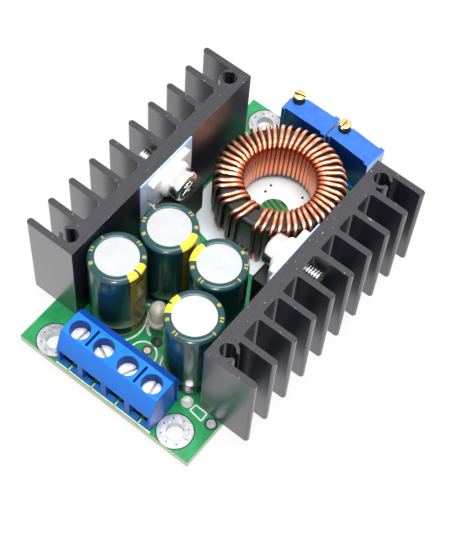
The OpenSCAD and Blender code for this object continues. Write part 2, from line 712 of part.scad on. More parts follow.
// Coated ring core with rounded edges
module inductor_core() {
    color([0.2, 0.21, 0.21]) translate([ring_shift, ring_y, core_z]) rotate_extrude($fn = 96)
        translate([core_id / 2, 0]) rounded_plan((core_od - core_id) / 2, core_h, core_corner);
}

// One of the two strands that are wound side by side, swept along its path as one closed surface
module winding_strand(strand) {
    rings = len(path);
    points = [for (p = path) each wire_ring(p, strand)];
    skin = [for (i = [0 : rings - 2], k = [0 : wire_sides - 1]) let (
        a = i * wire_sides + k,
        b = i * wire_sides + (k + 1) % wire_sides)
        each [[a, b, a + wire_sides], [b, b + wire_sides, a + wire_sides]]];
    first_end = [for (k = [0 : wire_sides - 1]) wire_sides - 1 - k];
    last_end = [for (k = [0 : wire_sides - 1]) (rings - 1) * wire_sides + k];
    color([0.85, 0.5, 0.33]) polyhedron(points, concat(skin, [first_end, last_end]));
}

module winding_strand_a() { winding_strand(-1); }
module winding_strand_b() { winding_strand(1); }

// Half section of a can-shaped body: radius, height and the radius of its upper corner
module can_half(r, h, corner) {
    square([r - corner, h]);
    square([r, h - corner]);
    translate([r - corner, h - corner]) circle(corner);
}

// Drawn aluminium can, crimped above its rubber bung
module capacitor_can(place) {
    low = 0.35;
    color("whitesmoke") translate([place.x, place.y, board_t + low]) rotate_extrude() difference() {
        can_half(can_r, cap_h - sleeve_t - low, can_shoulder);
        translate([can_r + 0.3, crimp_z - low]) circle(crimp_depth + 0.3);
        translate([-past, -past]) square([bung_r + bung_gap + past, past + bung_h - low]);
    }
}

// Shrunk sleeve, turned in over the can's shoulder
module capacitor_sleeve(place) {
    low = 0.3;
    color([0.1, 0.3, 0.3]) translate([place.x, place.y, board_t + low]) rotate_extrude() difference() {
        can_half(cap_d / 2, cap_h - low, can_shoulder + sleeve_t + sleeve_gap);
        translate([0, -past])
            can_half(can_r + sleeve_gap, cap_h - sleeve_t - low + past, can_shoulder + sleeve_gap);
        translate([0, -past]) square([cap_d / 2 - sleeve_rim, cap_h + 2 * past]);
    }
}

module capacitor_bung(place) {
    color([0.15, 0.15, 0.15]) translate([place.x, place.y, board_t]) cylinder(r = bung_r, h = bung_h - bung_gap);
}

module capacitor_a_can() { capacitor_can(cap_a); }
module capacitor_a_sleeve() { capacitor_sleeve(cap_a); }
module capacitor_a_bung() { capacitor_bung(cap_a); }
module capacitor_b_can() { capacitor_can(cap_b); }
module capacitor_b_sleeve() { capacitor_sleeve(cap_b); }
module capacitor_b_bung() { capacitor_bung(cap_b); }
module capacitor_c_can() { capacitor_can(cap_c); }
module capacitor_c_sleeve() { capacitor_sleeve(cap_c); }
module capacitor_c_bung() { capacitor_bung(cap_c); }
module capacitor_d_can() { capacitor_can(cap_d_place); }
module capacitor_d_sleeve() { capacitor_sleeve(cap_d_place); }
module capacitor_d_bung() { capacitor_bung(cap_d_place); }

module capacitor_leads() {
    color("silver") for (hole = cap_holes) translate([hole.x, hole.y, -lead_out])
        cylinder(d = cap_lead_d, h = board_t + lead_out, $fn = 24);
}

// Local frame of a trimmer: its front left corner, turned as it was soldered
module at_trimmer(number) {
    if (number == 1) translate([trimmer_left, trimmer_front, 0]) children();
    else translate([second_trimmer_left, second_trimmer_front, 0]) rotate([0, 0, -trimmer_askew]) children();
}

// Place of the adjusting screw in the trimmer's frame
adjuster_place = [adjuster_inset, trimmer_d - adjuster_inset];

// Moulded housing: corner posts with a sunk panel between them, small feet, bore for the screw
module trimmer_housing(number) {
    foot = 1.1;
    sill_h = 0.6;
    color("royalblue") at_trimmer(number) translate([0, 0, board_t]) difference() {
        union() {
            translate([0, 0, trimmer_foot]) cube([trimmer_w, trimmer_d, trimmer_h - trimmer_foot]);
            for (x = [0, trimmer_w - foot], y = [0, trimmer_d - foot])
                translate([x, y, 0]) cube([foot, foot, trimmer_foot + 0.1]);
        }
        for (y = [-past, trimmer_d - panel_depth]) translate([post_near_w, y, trimmer_foot + sill_h])
            cube([trimmer_w - post_near_w - post_far_w, panel_depth + past, trimmer_h]);
        translate([adjuster_place.x, adjuster_place.y, trimmer_h - adjuster_in])
            cylinder(d = adjuster_d + 2 * adjuster_play, h = adjuster_in + past);
        translate([adjuster_place.x, adjuster_place.y, trimmer_h - adjuster_rim_depth])
            cylinder(d = adjuster_rim_d, h = adjuster_rim_depth + past);
    }
}

// Slotted brass adjusting screw
module trimmer_screw(number, slot_angle) {
    slot_depth = 0.55;
    color("goldenrod") at_trimmer(number)
        translate([adjuster_place.x, adjuster_place.y, board_t + trimmer_h - adjuster_in])
            rotate([0, 0, slot_angle]) difference() {
                cylinder(d = adjuster_d, h = adjuster_in + adjuster_out);
                translate([-adjuster_d, -0.25, adjuster_in + adjuster_out - slot_depth])
                    cube([2 * adjuster_d, 0.5, slot_depth + past]);
            }
}

module trimmer_pins(holes) {
    color("silver") for (hole = holes) translate([hole.x, hole.y, -lead_out])
        cylinder(d = trimmer_pin_d, h = board_t + trimmer_foot + lead_out, $fn = 24);
}

module trimmer_1_housing() { trimmer_housing(1); }
module trimmer_1_screw() { trimmer_screw(1, 16); }
module trimmer_1_pins() { trimmer_pins(trimmer_1_holes); }
module trimmer_2_housing() { trimmer_housing(2); }
module trimmer_2_screw() { trimmer_screw(2, 94.5); }
module trimmer_2_pins() { trimmer_pins(trimmer_2_holes); }

// Clear lamp lens: flange with one flat side, straight barrel and round tip
module lamp_lens() {
    r = lamp_d / 2;
    color([0.95, 0.95, 0.92]) translate([lamp_place.x, lamp_place.y, board_t + lamp_lift]) {
        difference() {
            rotate_extrude() intersection() {
                square([lamp_flange_d, lamp_h]);
                union() {
                    square([lamp_flange_d / 2, 1]);
                    square([r, lamp_h - r]);
                    translate([0, lamp_h - r]) circle(r);
                }
            }
            translate([r + 0.1, -lamp_flange_d, -past]) cube([past, 2 * lamp_flange_d, 1 + past]);
        }
    }
}

// Two square leads with the stops that hold the lamp off the board
module lamp_leads() {
    color("silver") for (side = [-1, 1])
        translate([lamp_place.x + side * lamp_lead_pitch / 2, lamp_place.y, 0]) {
            board_lead(lamp_lead_w, lamp_lead_w, board_t + lamp_lift);
            translate([-0.45, -lamp_lead_w / 2, board_t + 1]) cube([0.9, lamp_lead_w, 0.6]);
        }
}

// Bent leg of a surface-mounted chip, drawn sideways: from the body down to its foot
module gull_leg(reach, rise, w) {
    t = 0.2;
    rotate([90, 0, 0]) translate([0, 0, -w / 2]) linear_extrude(w)
        polygon([[0, rise], [reach * 0.4, rise], [reach * 0.6, t], [reach, t], [reach, 0],
            [reach * 0.6 - t, 0], [reach * 0.4 - t, rise - t], [0, rise - t]]);
}

// Frame on the underside: z points down, away from the board
module under(x, y, turn = 0) {
    translate([x, y, 0]) rotate([180, 0, turn]) children();
}

chip_w = 3.9;
chip_l = 4.9;
chip_pitch = 1.27;
supply_chip_w = 4.5;
supply_chip_l = 2.5;
// The chips lie under the ring, and the shunt between the rear capacitors
ring_place = [ring_shift, ring_y];
control_chip_place = ring_place + [-2.25, -0.75];
supply_chip_place = ring_place + [5.55, -3.25];
resistor_places = [for (p = [[3.15, 1.75], [3.15, 4.25], [-2.25, 4.45], [-7.25, 1.45], [-7.25, -1.15]])
    ring_place + p];
capacitor_places = [for (p = [[9.55, 0.45], [9.55, -6.55], [-2.25, -5.75], [-7.25, -3.75]])
    ring_place + p];
shunt_place = (cap_b + cap_c) / 2;

module control_chip() {
    color([0.12, 0.12, 0.13]) under(control_chip_place.x, control_chip_place.y) difference() {
        translate([-chip_w / 2, -chip_l / 2, 0.15]) cube([chip_w, chip_l, 1.4]);
        translate([-chip_w / 2 + 0.9, -chip_l / 2 + 0.9, 1.45]) cylinder(d = 0.7, h = past);
        translate([-chip_w / 2, -chip_l, 1.55]) rotate([0, 45, 0])
            translate([-0.3, 0, -0.3]) cube([0.6, 2 * chip_l, 0.6]);
    }
}

module control_chip_legs() {
    color("silver") under(control_chip_place.x, control_chip_place.y)
        for (side = [0, 180], i = [-1.5 : 1.5]) rotate([0, 0, side])
            translate([chip_w / 2, i * chip_pitch, 0]) gull_leg(1.05, 0.85, 0.42);
}

module supply_chip() {
    color([0.12, 0.12, 0.13]) under(supply_chip_place.x, supply_chip_place.y)
        translate([-supply_chip_w / 2, -supply_chip_l / 2, 0.05]) cube([supply_chip_w, supply_chip_l, 1.45]);
}

// Three short feet on one side and the heat tab on the other
module supply_chip_legs() {
    color("silver") under(supply_chip_place.x, supply_chip_place.y) {
        for (i = [-1 : 1]) translate([1.5 * i - 0.24, -supply_chip_l / 2 - 0.95, 0]) cube([0.48, 0.95, 0.4]);
        translate([-0.85, supply_chip_l / 2, 0]) cube([1.7, 0.8, 0.4]);
    }
}

// Chip part: a ceramic body between two wrapped end caps
module chip_part(l, w, h) {
    cap = 0.16 * l;
    translate([-l / 2 + 0.05, -w / 2 + 0.03, 0.03]) cube([l - 0.1, w - 0.06, h - 0.06]);
    for (x = [-l / 2, l / 2 - cap]) translate([x, -w / 2, 0]) cube([cap, w, h]);
}

module shunt_resistor() {
    color([0.15, 0.15, 0.16]) under(shunt_place.x, shunt_place.y) chip_part(6.3, 3.2, 0.7);
}

module chip_resistors() {
    color([0.18, 0.18, 0.2]) for (p = resistor_places) under(p.x, p.y) chip_part(2, 1.25, 0.5);
}

module chip_capacitors() {
    color("burlywood") for (p = capacitor_places) under(p.x, p.y) chip_part(2, 1.25, 0.9);
}

// Cones of solder round the leads on the underside
module solder_joints() {
    cone_root = 0.33;
    cone_tip = 0.1;
    cone_h = 1.1;
    color("silver") for (hole = lead_holes) translate([hole.x, hole.y, 0]) rotate([180, 0, 0])
        difference() {
            cylinder(r1 = hole.z / 2 + cone_root, r2 = hole.z / 2 + cone_tip, h = cone_h, $fn = 24);
            translate([0, 0, -past]) cylinder(r = hole.z / 2 + 0.01, h = cone_h + 2 * past, $fn = 24);
        }
}

circuit_board();
left_terminal_housing();
right_terminal_housing();
terminal_contacts();
clamp_cage_1();
clamp_cage_2();
clamp_cage_3();
clamp_cage_4();
clamp_screw_1();
clamp_screw_2();
clamp_screw_3();
clamp_screw_4();
left_heatsink();
right_heatsink();
regulator_body();
regulator_frame();
regulator_pad();
regulator_bush();
regulator_screw();
diode_body();
diode_frame();
diode_pad();
diode_bush();
diode_screw();
inductor_core();
winding_strand_a();
winding_strand_b();
capacitor_a_can();
capacitor_a_sleeve();
capacitor_a_bung();
capacitor_b_can();
capacitor_b_sleeve();
capacitor_b_bung();
capacitor_c_can();
capacitor_c_sleeve();
capacitor_c_bung();
capacitor_d_can();
capacitor_d_sleeve();
capacitor_d_bung();
capacitor_leads();
trimmer_1_housing();
trimmer_1_screw();
trimmer_1_pins();
trimmer_2_housing();
trimmer_2_screw();
trimmer_2_pins();
lamp_lens();
lamp_leads();
control_chip();
control_chip_legs();
supply_chip();
supply_chip_legs();
shunt_resistor();
chip_resistors();
chip_capacitors();
solder_joints();
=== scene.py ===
# Adjustable buck converter module: a green circuit board with a wound ring inductor, four tall
# capacitors, two power devices clamped to finned heatsinks, two screw terminal blocks and two
# multi-turn trimmers. Meshes are in metres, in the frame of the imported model. Plain numbers for
# places and sizes are millimetres, and MM turns them into metres.

import json
import math

import bmesh
import bpy
import numpy as np
from mathutils import Matrix, Vector


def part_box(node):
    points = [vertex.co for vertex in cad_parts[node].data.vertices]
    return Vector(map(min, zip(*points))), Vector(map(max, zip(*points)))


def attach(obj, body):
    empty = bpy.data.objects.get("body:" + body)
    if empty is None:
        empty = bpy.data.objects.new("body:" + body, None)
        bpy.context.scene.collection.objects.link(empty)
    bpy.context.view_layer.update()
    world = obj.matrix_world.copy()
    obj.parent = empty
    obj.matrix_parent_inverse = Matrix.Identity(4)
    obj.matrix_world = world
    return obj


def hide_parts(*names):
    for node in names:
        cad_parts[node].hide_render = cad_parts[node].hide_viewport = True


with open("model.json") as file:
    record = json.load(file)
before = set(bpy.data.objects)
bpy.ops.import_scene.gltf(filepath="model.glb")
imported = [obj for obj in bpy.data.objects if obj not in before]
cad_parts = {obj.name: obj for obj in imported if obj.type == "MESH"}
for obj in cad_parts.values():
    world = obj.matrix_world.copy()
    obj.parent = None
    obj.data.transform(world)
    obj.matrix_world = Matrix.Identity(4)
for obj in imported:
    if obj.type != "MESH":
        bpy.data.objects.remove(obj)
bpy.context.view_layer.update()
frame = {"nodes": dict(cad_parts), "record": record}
nodes = frame["nodes"]
scene = bpy.context.scene
scene.view_settings.view_transform = "Standard"
MM = 0.001


# The stage: a camera above the right front corner, a pale sweep that shows as plain white and
# keeps a faint shadow, a large soft box above the module, and a small lamp at its front right
# that only makes highlights.

class Wire:
    """A value socket of a shader node. + - * % ** < > add Math nodes. A plain number may stand on
    the right of each, and on the left of a minus."""

    def __init__(self, graph, socket):
        self.graph, self.socket = graph, socket

    def twin(self, key):
        """Another output of the same node."""
        return Wire(self.graph, self.socket.node.outputs[key])

    def maths(self, operation, *values):
        return self.graph.node("ShaderNodeMath", {"operation": operation}, dict(enumerate(values)))

    def __add__(self, other): return self.maths("ADD", self, other)
    def __sub__(self, other): return self.maths("SUBTRACT", self, other)
    def __rsub__(self, other): return self.maths("SUBTRACT", other, self)
    def __mul__(self, other): return self.maths("MULTIPLY", self, other)
    def __mod__(self, other): return self.maths("FLOORED_MODULO", self, other)
    def __pow__(self, other): return self.maths("POWER", self, other)
    def __lt__(self, other): return self.maths("LESS_THAN", self, other)
    def __gt__(self, other): return self.maths("GREATER_THAN", self, other)
    def __abs__(self): return self.maths("ABSOLUTE", self)
    def sine(self): return self.maths("SINE", self)
    def root(self): return self.maths("SQRT", self)
    def most(self, other): return self.maths("MAXIMUM", self, other)

    def step(self, low, high):
        """0 below low and 1 above high, with a smooth rise between."""
        return self.graph.node("ShaderNodeMapRange", {"interpolation_type": "SMOOTHSTEP"},
                               {"Value": self, "From Min": low, "From Max": high})


class Graph:
    """The shader nodes of a world or a material. Each new node comes from node()."""

    def __init__(self, owner):
        owner.use_nodes = True
        self.tree = owner.node_tree

    def node(self, kind, settings=None, inputs=None, out=0):
        made = self.tree.nodes.new(kind)
        for key, value in (settings or {}).items():
            setattr(made, key, value)
        for key, value in (inputs or {}).items():
            self.join(made.inputs[key], value)
        return Wire(self, made.outputs[out])

    def join(self, socket, value):
        if isinstance(value, Wire):
            self.tree.links.new(value.socket, socket)
        else:
            socket.default_value = value

    def seen(self):
        """1 for a ray that shows a surface, straight or mirrored, and 0 for one that gathers light."""
        ray = self.node("ShaderNodeLightPath")
        mirrored = ray.twin("Is Glossy Ray").most(ray.twin("Is Transmission Ray"))
        return ray.twin("Is Camera Ray").most(mirrored)


class Finish(Graph):
    """A material in the making. Keywords set plain values of the shader, with _ for each space."""

    def __init__(self, name, **plain):
        self.material = bpy.data.materials.new(name)
        super().__init__(self.material)
        self.shader = self.tree.nodes["Principled BSDF"]
        for key, value in plain.items():
            self.set(key.replace("_", " "), value)

    def set(self, socket, value):
        self.join(self.shader.inputs[socket], value)

    def spot(self):
        """Object coordinates in millimetres, as three wires."""
        place = self.node("ShaderNodeTexCoord", out="Object")
        split = self.node("ShaderNodeSeparateXYZ", inputs={0: place})
        return [split.twin(k) * 1000.0 for k in range(3)]

    def place(self, stretch=(1.0, 1.0, 1.0), turn=(0.0, 0.0, 0.0)):
        """Object coordinates in millimetres as a vector, stretched and turned."""
        return self.node("ShaderNodeMapping", inputs={
            "Vector": self.node("ShaderNodeTexCoord", out="Object"),
            "Scale": [1000.0 * s for s in stretch], "Rotation": turn})

    def facing(self):
        """The surface's normal as three wires."""
        normal = self.node("ShaderNodeNewGeometry", out="Normal")
        split = self.node("ShaderNodeSeparateXYZ", inputs={0: normal})
        return [split.twin(k) for k in range(3)]

    def grain(self, scale, detail=3.0, rough=0.55, place=None):
        """Noise from 0 to 1, with so many lumps to a millimetre."""
        return self.node("ShaderNodeTexNoise", {"noise_dimensions": "3D"}, {
            "Vector": place or self.place(), "Scale": scale, "Detail": detail, "Roughness": rough})

    def blend(self, share, below, above):
        """One colour into another by a share from 0 to 1."""
        mix = self.node("ShaderNodeMix", {"data_type": "RGBA", "clamp_factor": True},
                        {0: share, 6: below, 7: above})
        return mix.twin(2)

    def patchy(self, scale, dark, light, detail=3.0, low=0.3, high=0.7):
        """Two colours in soft patches, with so many patches to a millimetre."""
        return self.blend(self.grain(scale, detail).step(low, high), paint(*dark), paint(*light))

    def relief(self, height, depth, strength=1.0):
        """Feeds the normal from a height, whose full step is depth millimetres."""
        self.set("Normal", self.node("ShaderNodeBump", inputs={
            "Strength": strength, "Distance": depth * MM, "Height": height}))


def paint(red, green, blue):
    """A colour as a screen shows it, 0 to 255, made linear."""
    shares = [c / 255 for c in (red, green, blue)]
    return [((s + 0.055) / 1.055) ** 2.4 if s > 0.04 else s / 12.92 for s in shares] + [1.0]


# camera: it looks at a point inside the module from an azimuth, an elevation and a distance
azimuth, elevation, roll = (math.radians(a) for a in (32.88, 60.706, 6.083))
target, distance = Vector((4.392, -2.824, 6.6)), 243.853
back = Vector((math.sin(azimuth) * math.cos(elevation), -math.cos(azimuth) * math.cos(elevation),
               math.sin(elevation)))
right = Vector((math.cos(azimuth), math.sin(azimuth), 0))
up = back.cross(right)
side = math.cos(roll) * right + math.sin(roll) * up
top = math.cos(roll) * up - math.sin(roll) * right
eye = target * MM + back * distance * MM
camera = bpy.data.objects.new("camera", bpy.data.cameras.new("camera"))
camera.data.sensor_fit = "AUTO"
camera.data.sensor_width = 36
camera.data.lens = 91.64
camera.data.clip_start, camera.data.clip_end = 0.01, 20
camera.matrix_world = Matrix(((side.x, top.x, back.x, eye.x), (side.y, top.y, back.y, eye.y),
                              (side.z, top.z, back.z, eye.z), (0, 0, 0, 1)))
scene.collection.objects.link(camera)
scene.camera = camera


def soft_box(name, place, size, power):
    """A square area lamp at a place, facing the middle of the module."""
    lamp = bpy.data.objects.new(name, bpy.data.lights.new(name, "AREA"))
    lamp.data.size, lamp.data.energy = size, power
    lamp.location = place
    lamp.rotation_euler = (Vector(place) - Vector((0, 0, 0.01))).to_track_quat("Z", "Y").to_euler()
    scene.collection.objects.link(lamp)
    return lamp


soft_box("box_above", (0.06, -0.02, 0.60), 0.36, 3.6)
sparkle = soft_box("lamp_in_front", (0.22, -0.42, 0.26), 0.11, 3.0)
sparkle.visible_diffuse = False

# the surroundings show as white and light the module a little less
world = bpy.data.worlds.new("studio")
scene.world = world
studio = Graph(world)
sky = studio.tree.nodes["Background"]
light_share = 0.65
studio.join(sky.inputs["Strength"], studio.seen() * (1 - light_share) + light_share)
studio.join(sky.inputs["Color"], (1, 1, 1, 1))

# the floor glows where it is seen, and a tenth of its own shading lets the shadow through
sweep = Finish("pale_floor", Base_Color=paint(238, 239, 240), Roughness=0.9, Specular_IOR_Level=0.1)
glow = sweep.node("ShaderNodeEmission", inputs={"Color": (1, 1, 1, 1), "Strength": 1.0})
floor_surface = sweep.node("ShaderNodeMixShader", inputs={
    0: sweep.seen() * 0.9, 1: Wire(sweep, sweep.shader.outputs[0]), 2: glow})
sweep.join(sweep.tree.nodes["Material Output"].inputs["Surface"], floor_surface)

floor_z = min(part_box(name)[0].z for name in nodes)
half = 1.5
floor_mesh = bpy.data.meshes.new("floor")
floor_mesh.from_pydata([(-half, -half, floor_z), (half, -half, floor_z), (half, half, floor_z),
                        (-half, half, floor_z)], [], [(0, 1, 2, 3)])
floor = bpy.data.objects.new("floor", floor_mesh)
floor_mesh.materials.append(sweep.material)
scene.collection.objects.link(floor)


# Circuit board: 1.6 mm glass laminate under glossy green solder mask, with a pale sawn edge.
# Its drilled holes are tinned, and wide tracks show through the mask as a slightly darker green.

def dress(names, finish):
    """Gives CAD nodes their finish, in the material slots of their objects."""
    for name in names:
        piece = nodes[name]
        if not piece.material_slots:
            piece.data.materials.append(finish.material)
        for place in piece.material_slots:
            place.link = "OBJECT"
            place.material = finish.material


def reach_from(spot, middle):
    """Distance on the board from a point, in millimetres."""
    return ((spot[0] - middle[0]) ** 2 + (spot[1] - middle[1]) ** 2).root()


def disc(spot, middle, r, soft=0.04):
    """1 inside a circle on the board and 0 outside it."""
    return 1 - reach_from(spot, middle).step(r - soft, r + soft)


board_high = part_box("circuit_board")[1]
board_top, half_width, half_length = board_high.z, board_high.x / MM, board_high.y / MM
mounting_hole = 13.2, 29.4
lamp_pad, dark_pad, corner_pad, front_pad = (0.12, -20.9), (0.35, -18.75), (17.0, -24.6), (11.4, -24.0)

mask = Finish("green_solder_mask", Coat_Weight=0.3, Coat_Roughness=0.12, Specular_IOR_Level=0.5)
x, y, z = spot = mask.spot()
green = mask.patchy(0.35, (22, 150, 82), (38, 168, 98), 4.0)
tracks = mask.node("ShaderNodeTexVoronoi", {"feature": "DISTANCE_TO_EDGE", "distance": "EUCLIDEAN"}, {
    "Vector": mask.place((1.0, 1.0, 0.0)), "Scale": 0.11, "Randomness": 0.8})
green = mask.blend((1 - tracks.step(0.03, 0.05)) * 0.3, green, paint(14, 128, 68))
to_hole = reach_from((abs(x), abs(y)), mounting_hole)
ring_gaps = to_hole.step(3.05, 3.15) * (1 - to_hole.step(3.28, 3.38))
pad_gaps = disc(spot, lamp_pad, 0.95).most(disc(spot, corner_pad, 1.15)).most(disc(spot, dark_pad, 1.05))
green = mask.blend(ring_gaps.most(pad_gaps * (z > 1.0)), green, paint(22, 62, 44))
ply = ((z * 9.0).sine() * 0.5 + 0.5) * mask.grain(2.0)
laminate = mask.blend(ply, paint(166, 178, 142), paint(206, 214, 186))
flat = abs(mask.facing()[2]).step(0.4, 0.6)
edge = (abs(x) - half_width).most(abs(y) - half_length).step(-0.06, -0.02)
wall = mask.blend(edge, paint(196, 198, 196), laminate)
mask.set("Base Color", mask.blend(flat, wall, green))
mask.set("Metallic", (1 - flat) * (1 - edge) * 0.8)
mask.set("Roughness", (1 - flat) * 0.45 + 0.2)
mask.relief(mask.grain(1.3, 2.0), 0.02, 0.35)
dress(["circuit_board"], mask)


# Print on the board: tinned rings round the mounting holes with a circle of small vias, a tinned
# area under the ring inductor, bare pads, and the white outlines that show where parts go.

def piece_of(name, mesh, finish, body):
    """Puts a finished mesh on the module: at the origin, riding its body."""
    made = bpy.data.objects.new(name, mesh)
    scene.collection.objects.link(made)
    mesh.materials.clear()
    mesh.materials.append(finish.material)
    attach(made, body)
    return made


def plate_mesh(name, outline, low, high, hole=None):
    """A flat plate: an outline walked anticlockwise, carried up from one height to another.
    With a hole of as many points the plate is a ring between the two lines."""
    outline = np.asarray(outline, float) * MM
    count = len(outline)
    lines = [outline] if hole is None else [outline, np.asarray(hole, float) * MM]
    points = np.vstack([np.column_stack([line, np.full(count, h)]) for line in lines for h in (low, high)])
    k = np.arange(count)
    after = (k + 1) % count
    faces = [[k, after, after + count, k + count]]
    if hole is None:
        ends = [tuple(k[::-1]), tuple(k + count)]
    else:
        ends = []
        faces += [[after + 2 * count, k + 2 * count, k + 3 * count, after + 3 * count],
                  [k + count, after + count, after + 3 * count, k + 3 * count],
                  [after, k, k + 2 * count, after + 2 * count]]
    quads = np.vstack([np.column_stack(f) for f in faces])
    mesh = bpy.data.meshes.new(name)
    mesh.from_pydata(points.tolist(), [], quads.tolist() + ends)
    return mesh


def circle(x, y, r, count):
    """Points on a circle: centre plus r times cosine and sine of even steps of angle."""
    a = 2 * math.pi * np.arange(count) / count
    return np.column_stack([x + r * np.cos(a), y + r * np.sin(a)])


def arc(x, y, r, first, sweep, count=48):
    """Points on an arc from its first angle, through its sweep, both in degrees."""
    a = math.radians(first) + math.radians(sweep) * np.arange(count) / (count - 1)
    return np.column_stack([x + r * np.cos(a), y + r * np.sin(a)])


def stroke(points, width=0.26):
    """Outline of a pen line: its points moved half a width to the right, then back along the left."""
    points = np.asarray(points, float)
    along = np.gradient(points, axis=0)
    along /= np.linalg.norm(along, axis=1)[:, None]
    across = np.column_stack([along[:, 1], -along[:, 0]]) * width / 2
    return np.vstack([points + across, (points - across)[::-1]])


def gathered(name, meshes):
    """One mesh made of several."""
    whole = bmesh.new()
    for part in meshes:
        whole.from_mesh(part)
        bpy.data.meshes.remove(part)
    mesh = bpy.data.meshes.new(name)
    whole.to_mesh(mesh)
    whole.free()
    return mesh


print_height = 0.03 * MM
ring_pad_r, ring_pad_hole_r, via_ring_r = 3.1, 1.56, 2.35
tin = Finish("tinned_pads", Metallic=0.75, Roughness=0.24)
wear = tin.grain(0.9, 4.0)
x, y, z = spot = tin.spot()
tin_colour = tin.blend(wear.step(0.35, 0.7), paint(190, 192, 196), paint(226, 228, 232))
reach = reach_from((abs(x), abs(y)), mounting_hole)
angle = x.maths("ARCTAN2", abs(y) - mounting_hole[1], abs(x) - mounting_hole[0])
off_via = angle - x.maths("SNAP", angle + math.pi / 8, math.pi / 4)
via_gap = ((reach - via_ring_r) ** 2 + (off_via * via_ring_r) ** 2).root()
vias = (1 - via_gap.step(0.1, 0.2)) * (reach < ring_pad_r)
for place, r, colour in ((dark_pad, 1.0, (60, 70, 66)), (lamp_pad, 0.7, (232, 214, 206)),
                         (front_pad, 1.1, (246, 240, 242))):
    tin_colour = tin.blend(disc(spot, place, r), tin_colour, paint(*colour))
tin.set("Base Color", tin.blend(vias, tin_colour, paint(96, 100, 104)))
tin.relief(wear, 0.02, 0.3)
pads = []
for low in (board_top, -print_height):
    for middle in [(sx * mounting_hole[0], sy * mounting_hole[1]) for sx in (-1, 1) for sy in (-1, 1)]:
        pads.append(plate_mesh("pad", circle(*middle, ring_pad_r, 64), low, low + print_height,
                               circle(*middle, ring_pad_hole_r, 64)))
for middle, r in ((front_pad, 1.05), (corner_pad, 0.8), (lamp_pad, 0.62), (dark_pad, 0.9)):
    pads.append(plate_mesh("pad", circle(*middle, r, 32), board_top, board_top + print_height))
piece_of("tinned_pads", gathered("tinned_pads", pads), tin, "module")

bare = Finish("tinned_area", Roughness=0.35, Metallic=0.0, Coat_Weight=0.2)
x, y, z = spot = bare.spot()
window = disc(spot, (-0.24, 15.18), 2.68)
stripes = ((x * 0.30 + y * 0.95) * 6.5).sine().step(0.1, 0.35) * window * (x < 0.9)
holes = disc(spot, (-4.02, 17.55), 0.26, 0.06).most(disc(spot, (-4.03, 19.25), 0.24, 0.06))
holes = holes.most(disc(spot, (1.99, 20.84), 0.26, 0.06))
colour = bare.blend(window, bare.patchy(0.25, (238, 247, 252), (249, 253, 255)), paint(40, 140, 70))
colour = bare.blend(stripes, colour, paint(24, 60, 34))
bare.set("Base Color", bare.blend(holes, colour, paint(8, 9, 10)))
area = [(-13.0, 11.6), (-12.6, 9.2), (-11.3, 6.6), (-9.6, 4.4), (-7.5, 3.1), (-5.75, 2.7), (-3.0, 2.2),
        (1.0, 2.0), (4.8, 2.2), (5.6, 2.8), (8.6, 4.0), (11.2, 7.0), (12.6, 11.0), (12.6, 17.0),
        (11.8, 21.0), (9.0, 24.4), (5.0, 26.2), (-1.0, 26.8), (-6.5, 25.6), (-10.5, 22.6), (-12.6, 18.0)]
piece_of("tinned_area", plate_mesh("tinned_area", area, board_top, board_top + 0.02 * MM), bare,
         "module")

ink = Finish("white_ink", Roughness=0.55)
ink.set("Base Color", ink.patchy(3.0, (214, 226, 220), (250, 252, 250), low=0.25, high=0.6))
pole_pitch, first_pole = 5.08, -7.74
lines = [stroke([(-10.32, -32.24), (10.18, -32.28)])]
lines += [stroke([(first_pole + k * pole_pitch, -32.3), (first_pole + k * pole_pitch, -31.2)], 0.3)
          for k in range(4)]
lines += [stroke(arc(-0.03, -21.86, 2.35, -10, 200, 32), 0.3),
          stroke(arc(-1.1, -16.6, 1.75, 125, 140, 24), 0.55)]
for px, py, first, swept in ((-8.2, -18.85, -95, 160), (7.95, -19.0, 150, 110), (-5.3, -8.8, 215, 130),
                             (5.1, -8.95, 200, 130)):
    lines.append(stroke(arc(px, py, 5.12, first, swept), 0.3))
corners = [(12.7, -24.85), (12.9, -23.5), (15.34, -23.61), (15.36, -25.23)]
lines += [stroke([start, end]) for start, end in zip(corners, corners[1:] + corners[:1])]
lines.append(stroke([(-13.9, 11.7), (-13.9, 12.9)]))
plates = [plate_mesh("line", line, board_top, board_top + print_height) for line in lines]
piece_of("board_print", gathered("board_print", plates), ink, "module")


# Screw terminals: two moulded blue housings joined by a dovetail, a folded zinc-plated cage that
# climbs a slotted screw in each wire chamber, and a tinned contact bar that ends in a board pin.
# The blue is painted darker as shade on steep faces, in the screw bores, the slits and on the rear ledge,
# painted near black as shade in the wire chambers, and painted lighter on slopes.

bodies = {node: body for body, members in frame["record"]["behaviour"]["bodies"].items() for node in members}


def softened(name, finish, width, spread=30.0):
    """Stands in for a CAD node: the same solid, merged into whole faces, with its edges rounded
    where they turn by more than the spread, in degrees."""
    work = bmesh.new()
    work.from_mesh(nodes[name].data)
    bmesh.ops.remove_doubles(work, verts=work.verts, dist=1e-6)
    bmesh.ops.dissolve_limit(work, angle_limit=math.radians(1.0), verts=work.verts, edges=work.edges)
    mesh = bpy.data.meshes.new(name + "_soft")
    work.to_mesh(mesh)
    work.free()
    mesh.shade_smooth()
    made = piece_of(name + "_soft", mesh, finish, bodies[name])
    rounding = made.modifiers.new("rounded_edges", "BEVEL")
    rounding.width, rounding.segments, rounding.limit_method = width * MM, 2, "ANGLE"
    rounding.angle_limit = math.radians(spread)
    shading = made.modifiers.new("flat_faces", "WEIGHTED_NORMAL")
    shading.mode, shading.weight, shading.keep_sharp = "FACE_AREA", 100, True
    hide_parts(name)


